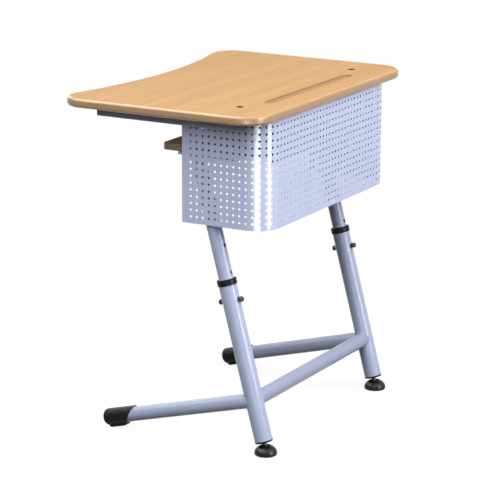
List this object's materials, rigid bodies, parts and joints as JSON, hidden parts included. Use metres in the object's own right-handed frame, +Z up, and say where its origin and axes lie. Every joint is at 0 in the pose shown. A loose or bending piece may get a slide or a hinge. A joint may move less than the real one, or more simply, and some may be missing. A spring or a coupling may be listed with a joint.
{
  "type": "school desk",
  "caption": "School desk with a scooped wood top, pen groove, perforated modesty panel, book shelf, raked telescopic legs and swivel levelling feet.",
  "frame": {"origin": "on the floor, under the middle of the desk's box", "axes": "+Z up, the user sits at -Y, the perforated panel faces +Y, +X is the user's right"},
  "size_m": [0.614, 0.424, 0.65],
  "materials": {
    "top_wood": "satin lacquered light wood, grain along the width",
    "shelf_wood": "satin lacquered light wood",
    "silver_paint": "satin powder coat, pale lavender silver",
    "black_plastic": "satin black moulding",
    "black_steel": "black oxide steel, satin",
    "zinc_steel": "bright zinc plate"
  },
  "bodies": {
    "base_frame": {"lower_leg_right": "silver_paint", "lower_leg_left": "silver_paint", "leg_bush_right": "black_plastic", "leg_bush_left": "black_plastic", "lock_bosses_right": "black_steel", "lock_bosses_left": "black_steel", "foot_tube_right": "silver_paint", "foot_tube_left": "silver_paint", "foot_cap_right": "black_plastic", "foot_cap_left": "black_plastic", "leg_plug_right": "black_plastic", "leg_plug_left": "black_plastic", "stretcher": "silver_paint"},
    "upper_frame": {"desk_top": "top_wood", "rail_right": "silver_paint", "rail_left": "silver_paint", "rail_plug_right_user": "black_plastic", "rail_plug_right_front": "black_plastic", "rail_plug_left_user": "black_plastic", "rail_plug_left_front": "black_plastic", "cross_rail": "silver_paint", "perforated_panel": "silver_paint", "panel_tabs_right": "silver_paint", "panel_tabs_left": "silver_paint", "book_shelf": "shelf_wood", "shelf_bearer_right": "silver_paint", "shelf_bearer_left": "silver_paint", "upper_leg_right": "silver_paint", "upper_leg_left": "silver_paint", "leg_guide_right": "black_plastic", "leg_guide_left": "black_plastic", "top_bolts": "black_steel", "top_screws": "zinc_steel", "shelf_screws": "zinc_steel"},
    "lock_screw_right_front": {"lock_screw_right_front": "black_steel"},
    "lock_screw_right_user": {"lock_screw_right_user": "black_steel"},
    "lock_screw_left_front": {"lock_screw_left_front": "black_steel"},
    "lock_screw_left_user": {"lock_screw_left_user": "black_steel"},
    "levelling_stem_right": {"levelling_stem_right": "black_steel"},
    "levelling_pad_right": {"levelling_pad_right": "black_plastic"},
    "levelling_stem_left": {"levelling_stem_left": "black_steel"},
    "levelling_pad_left": {"levelling_pad_left": "black_plastic"}
  },
  "joints": [
    {"name": "height_slide", "type": "slide", "parent": "base_frame", "child": "upper_frame", "axis": [0, -0.2588, 0.9659], "range_m": [-0.10353, 0.10353]},
    {"name": "lock_slide_right_front", "type": "slide", "parent": "base_frame", "child": "lock_screw_right_front", "axis": [0, -0.9659, -0.2588], "range_m": [-0.004, 0.003]},
    {"name": "lock_slide_right_user", "type": "slide", "parent": "base_frame", "child": "lock_screw_right_user", "axis": [0, 0.9659, 0.2588], "range_m": [-0.004, 0.003]},
    {"name": "lock_slide_left_front", "type": "slide", "parent": "base_frame", "child": "lock_screw_left_front", "axis": [0, -0.9659, -0.2588], "range_m": [-0.004, 0.003]},
    {"name": "lock_slide_left_user", "type": "slide", "parent": "base_frame", "child": "lock_screw_left_user", "axis": [0, 0.9659, 0.2588], "range_m": [-0.004, 0.003]},
    {"name": "level_slide_right", "type": "slide", "parent": "base_frame", "child": "levelling_stem_right", "axis": [0, 0.2588, -0.9659], "range_m": [-0.003, 0.015]},
    {"name": "pad_swivel_right", "type": "hinge", "parent": "levelling_stem_right", "child": "levelling_pad_right", "pos_m": [0.2295, 0.19032, 0.01], "axis": [1, 0, 0], "range_deg": [-5, 5]},
    {"name": "level_slide_left", "type": "slide", "parent": "base_frame", "child": "levelling_stem_left", "axis": [0, 0.2588, -0.9659], "range_m": [-0.003, 0.015]},
    {"name": "pad_swivel_left", "type": "hinge", "parent": "levelling_stem_left", "child": "levelling_pad_left", "pos_m": [-0.2295, 0.19032, 0.01], "axis": [1, 0, 0], "range_deg": [-5, 5]}
  ]
}
